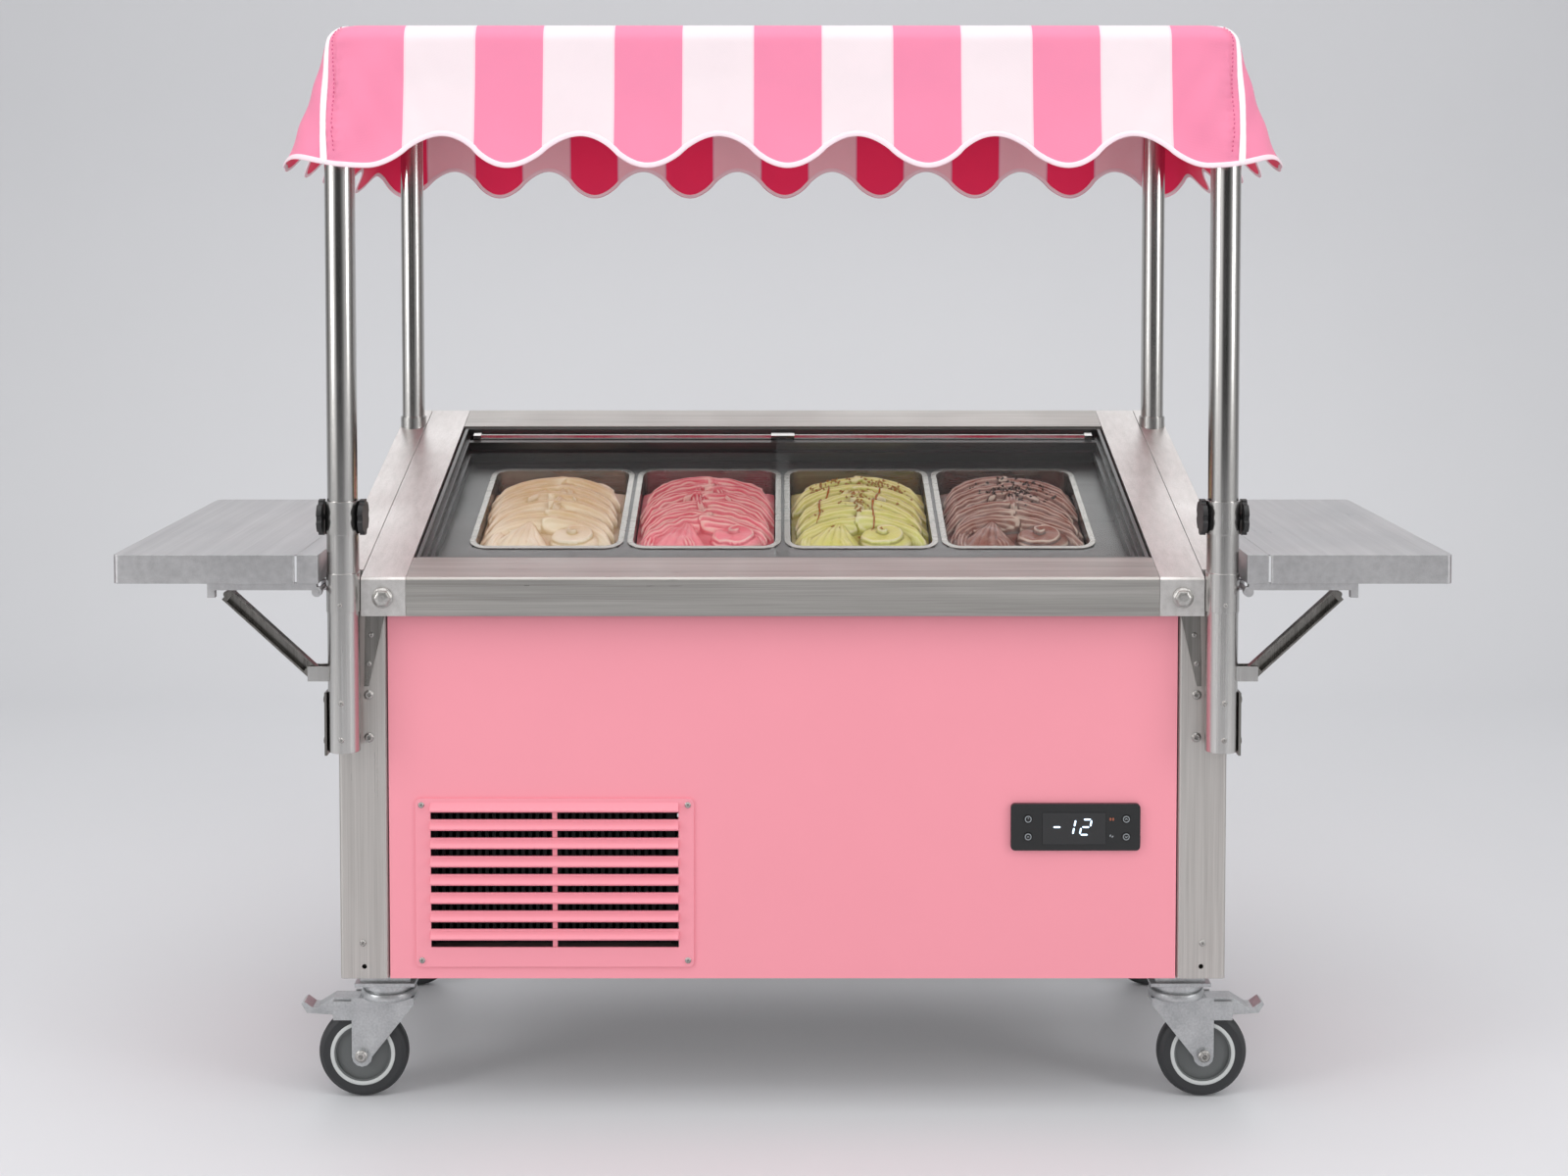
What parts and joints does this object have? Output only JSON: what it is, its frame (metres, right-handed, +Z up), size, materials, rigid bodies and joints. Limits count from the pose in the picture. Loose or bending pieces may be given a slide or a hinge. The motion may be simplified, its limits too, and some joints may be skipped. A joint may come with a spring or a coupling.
{
  "type": "ice cream push cart",
  "caption": "Push cart with a sloping ice cream display under sliding glass, a striped canopy on steel posts, folding side shelves and swivel casters.",
  "frame": {"origin": "on the floor under the middle of the whole cart", "axes": "+X runs across the cart to its right, -Y is its front, +Z is up"},
  "size_m": [2.14, 0.8068, 1.7839],
  "materials": {
    "stainless": "brushed",
    "polished_steel": "polished",
    "frame_steel": "matt",
    "pink_paint": "satin",
    "black_plastic": "satin",
    "dark_window": "gloss",
    "button_cap": "satin",
    "clear_glass": "clear",
    "vanilla": "soft",
    "strawberry": "soft",
    "pistachio": "soft",
    "chocolate": "soft",
    "zinc": "zinc plated",
    "grey_rubber": "matt",
    "grey_hub": "matt",
    "canopy_tube": "satin",
    "canopy_fabric": "woven",
    "cooler_metal": "matt",
    "black_metal": "satin"
  },
  "bodies": {
    "cart": {"base_frame": "frame_steel", "corner_columns": "stainless", "front_panel": "pink_paint", "rear_panel": "pink_paint", "side_panels": "pink_paint", "vent_grille": "pink_paint", "control_housing": "black_plastic", "control_window": "dark_window", "counter_front_rail": "stainless", "counter_side_rails": "stainless", "counter_rear_rail": "stainless", "side_cheeks": "stainless", "well_liner": "stainless", "well_frame": "stainless", "gelato_pans": "stainless", "ice_cream_vanilla": "vanilla", "ice_cream_strawberry": "strawberry", "ice_cream_pistachio": "pistachio", "ice_cream_chocolate": "chocolate", "guard_tube": "polished_steel", "post_sleeves": "stainless", "post_brackets": "stainless", "shelf_hinge_rails": "stainless", "shelf_lock_knobs": "black_plastic", "caster_plates": "zinc", "condenser": "cooler_metal", "fan_shroud": "black_plastic", "compressor": "black_metal", "power_inlet": "black_plastic", "fasteners": "stainless"},
    "fan": {"condenser_fan": "black_plastic"},
    "lid_left": {"glass_lid_left": "clear_glass"},
    "lid_right": {"glass_lid_right": "clear_glass"},
    "canopy": {"canopy_posts": "polished_steel", "canopy_frame": "canopy_tube", "canopy_cloth": "canopy_fabric"},
    "button_power": {"button_power": "button_cap"},
    "button_set": {"button_set": "button_cap"},
    "button_up": {"button_up": "button_cap"},
    "button_down": {"button_down": "button_cap"},
    "clamp_left": {"clamp_knobs_left": "black_plastic"},
    "shelf_left": {"shelf_left": "stainless"},
    "strut_left": {"shelf_strut_left": "stainless"},
    "clamp_right": {"clamp_knobs_right": "black_plastic"},
    "shelf_right": {"shelf_right": "stainless"},
    "strut_right": {"shelf_strut_right": "stainless"},
    "fork_front_left": {"caster_fork_front_left": "zinc"},
    "wheel_front_left": {"tyre_front_left": "grey_rubber", "hub_front_left": "grey_hub"},
    "brake_front_left": {"brake_pedal_front_left": "zinc"},
    "fork_front_right": {"caster_fork_front_right": "zinc"},
    "wheel_front_right": {"tyre_front_right": "grey_rubber", "hub_front_right": "grey_hub"},
    "brake_front_right": {"brake_pedal_front_right": "zinc"},
    "fork_rear_left": {"caster_fork_rear_left": "zinc"},
    "wheel_rear_left": {"tyre_rear_left": "grey_rubber", "hub_rear_left": "grey_hub"},
    "fork_rear_right": {"caster_fork_rear_right": "zinc"},
    "wheel_rear_right": {"tyre_rear_right": "grey_rubber", "hub_rear_right": "grey_hub"}
  },
  "joints": [
    {"name": "fan_spin", "type": "hinge", "parent": "cart", "child": "fan", "pos_m": [-0.38, -0.18, 0.391], "axis": [0, 1, 0], "continuous": true},
    {"name": "lid_left_slide", "type": "slide", "parent": "cart", "child": "lid_left", "axis": [1, 0, 0], "range_m": [0, 0.578]},
    {"name": "lid_right_slide", "type": "slide", "parent": "cart", "child": "lid_right", "axis": [-1, 0, 0], "range_m": [0, 0.584]},
    {"name": "canopy_height", "type": "slide", "parent": "cart", "child": "canopy", "axis": [0, 0, 1], "range_m": [0, 0.15]},
    {"name": "button_power_press", "type": "slide", "parent": "cart", "child": "button_power", "axis": [0, 1, 0], "range_m": [0, 0.0015], "stiffness_N_per_m": 500},
    {"name": "button_set_press", "type": "slide", "parent": "cart", "child": "button_set", "axis": [0, 1, 0], "range_m": [0, 0.0015], "stiffness_N_per_m": 500},
    {"name": "button_up_press", "type": "slide", "parent": "cart", "child": "button_up", "axis": [0, 1, 0], "range_m": [0, 0.0015], "stiffness_N_per_m": 500},
    {"name": "button_down_press", "type": "slide", "parent": "cart", "child": "button_down", "axis": [0, 1, 0], "range_m": [0, 0.0015], "stiffness_N_per_m": 500},
    {"name": "clamp_left_turn", "type": "hinge", "parent": "cart", "child": "clamp_left", "pos_m": [-0.708, -0.34, 0.997], "axis": [1, 0, 0], "range_deg": [0, 180]},
    {"name": "shelf_left_fold", "type": "hinge", "parent": "cart", "child": "shelf_left", "pos_m": [-0.745, 0, 0.88], "axis": [0, -1, 0], "range_deg": [0, 88]},
    {"name": "strut_left_fold", "type": "hinge", "parent": "cart", "child": "strut_left", "pos_m": [-0.755, 0, 0.745], "axis": [0, -1, 0], "range_deg": [0, 133]},
    {"name": "clamp_right_turn", "type": "hinge", "parent": "cart", "child": "clamp_right", "pos_m": [0.708, -0.34, 0.997], "axis": [1, 0, 0], "range_deg": [0, 180]},
    {"name": "shelf_right_fold", "type": "hinge", "parent": "cart", "child": "shelf_right", "pos_m": [0.745, 0, 0.88], "axis": [0, 1, 0], "range_deg": [0, 88]},
    {"name": "strut_right_fold", "type": "hinge", "parent": "cart", "child": "strut_right", "pos_m": [0.755, 0, 0.745], "axis": [0, 1, 0], "range_deg": [0, 133]},
    {"name": "swivel_front_left", "type": "hinge", "parent": "cart", "child": "fork_front_left", "pos_m": [-0.662, -0.215, 0.205], "axis": [0, 0, 1], "continuous": true},
    {"name": "roll_front_left", "type": "hinge", "parent": "fork_front_left", "child": "wheel_front_left", "pos_m": [-0.705, -0.215, 0.075], "axis": [0, 1, 0], "continuous": true},
    {"name": "brake_front_left_press", "type": "hinge", "parent": "fork_front_left", "child": "brake_front_left", "pos_m": [-0.736, -0.215, 0.158], "axis": [0, -1, 0], "range_deg": [0, 12]},
    {"name": "swivel_front_right", "type": "hinge", "parent": "cart", "child": "fork_front_right", "pos_m": [0.662, -0.215, 0.205], "axis": [0, 0, 1], "continuous": true},
    {"name": "roll_front_right", "type": "hinge", "parent": "fork_front_right", "child": "wheel_front_right", "pos_m": [0.705, -0.215, 0.075], "axis": [0, 1, 0], "continuous": true},
    {"name": "brake_front_right_press", "type": "hinge", "parent": "fork_front_right", "child": "brake_front_right", "pos_m": [0.736, -0.215, 0.158], "axis": [0, 1, 0], "range_deg": [0, 12]},
    {"name": "swivel_rear_left", "type": "hinge", "parent": "cart", "child": "fork_rear_left", "pos_m": [-0.662, 0.292, 0.205], "axis": [0, 0, 1], "continuous": true},
    {"name": "roll_rear_left", "type": "hinge", "parent": "fork_rear_left", "child": "wheel_rear_left", "pos_m": [-0.705, 0.292, 0.075], "axis": [0, 1, 0], "continuous": true},
    {"name": "swivel_rear_right", "type": "hinge", "parent": "cart", "child": "fork_rear_right", "pos_m": [0.662, 0.292, 0.205], "axis": [0, 0, 1], "continuous": true},
    {"name": "roll_rear_right", "type": "hinge", "parent": "fork_rear_right", "child": "wheel_rear_right", "pos_m": [0.705, 0.292, 0.075], "axis": [0, 1, 0], "continuous": true}
  ],
  "couplings": [
    {"joint": "strut_left_fold", "follows": "shelf_left_fold", "ratio": 1.5068},
    {"joint": "strut_right_fold", "follows": "shelf_right_fold", "ratio": 1.5068}
  ]
}
